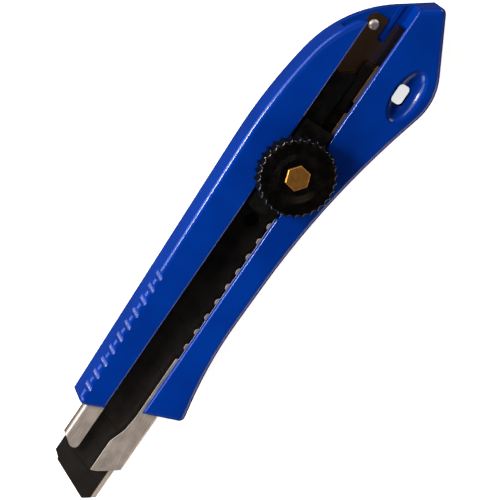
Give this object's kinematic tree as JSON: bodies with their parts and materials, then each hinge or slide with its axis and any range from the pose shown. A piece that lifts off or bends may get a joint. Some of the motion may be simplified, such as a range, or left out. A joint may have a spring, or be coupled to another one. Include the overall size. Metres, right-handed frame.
{
  "type": "utility knife",
  "caption": "Snap-off blade utility knife: slotted moulded handle, folded steel channel, sliding blade carriage locked by a knurled thumb wheel, lanyard hole at the tail.",
  "frame": {"origin": "on the flat back, on the blade channel's centre line, below the middle of the lock wheel", "axes": "+X towards the blade's tip, +Y towards the cutting edge, +Z out of the slotted front; lying on its back"},
  "size_m": [0.171, 0.0398, 0.0207],
  "materials": {
    "blue_moulding": "glossy moulded ABS",
    "channel_steel": "matte rolled sheet",
    "rivet_steel": "bright domed",
    "black_blade": "blackened with a bright ground edge",
    "black_steel": "blackened sheet",
    "pin_steel": "turned",
    "black_plastic": "moulded acetal",
    "nut_steel": "zinc plated",
    "spring_steel": "blued spring steel",
    "wheel_plastic": "glossy moulded ABS",
    "brass": "turned"
  },
  "bodies": {
    "handle": {"handle": "blue_moulding", "blade_channel": "channel_steel", "channel_rivet": "rivet_steel"},
    "carriage": {"snap_blade": "black_blade", "slider_plate": "black_steel", "blade_pin": "pin_steel", "slider_guide": "black_plastic", "drag_spring": "spring_steel", "spring_rivets": "rivet_steel", "wheel_washer": "nut_steel"},
    "clamp": {"clamp_plate": "black_steel", "clamp_nut": "nut_steel"},
    "wheel": {"lock_wheel": "wheel_plastic", "wheel_screw": "brass"}
  },
  "joints": [
    {"name": "blade_slide", "type": "slide", "parent": "handle", "child": "carriage", "axis": [1, 0, 0], "range_m": [-0.0115, 0.058]},
    {"name": "wheel_turn", "type": "hinge", "parent": "carriage", "child": "wheel", "pos_m": [0, 0.00055, 0.0207], "axis": [0, 0, 1], "range_deg": [0, 360]},
    {"name": "clamp_lift", "type": "slide", "parent": "carriage", "child": "clamp", "axis": [0, 0, 1], "range_m": [-0.0008, 0]}
  ],
  "couplings": [
    {"joint": "clamp_lift", "follows": "wheel_turn", "m_per_rad": -0.00011141}
  ]
}
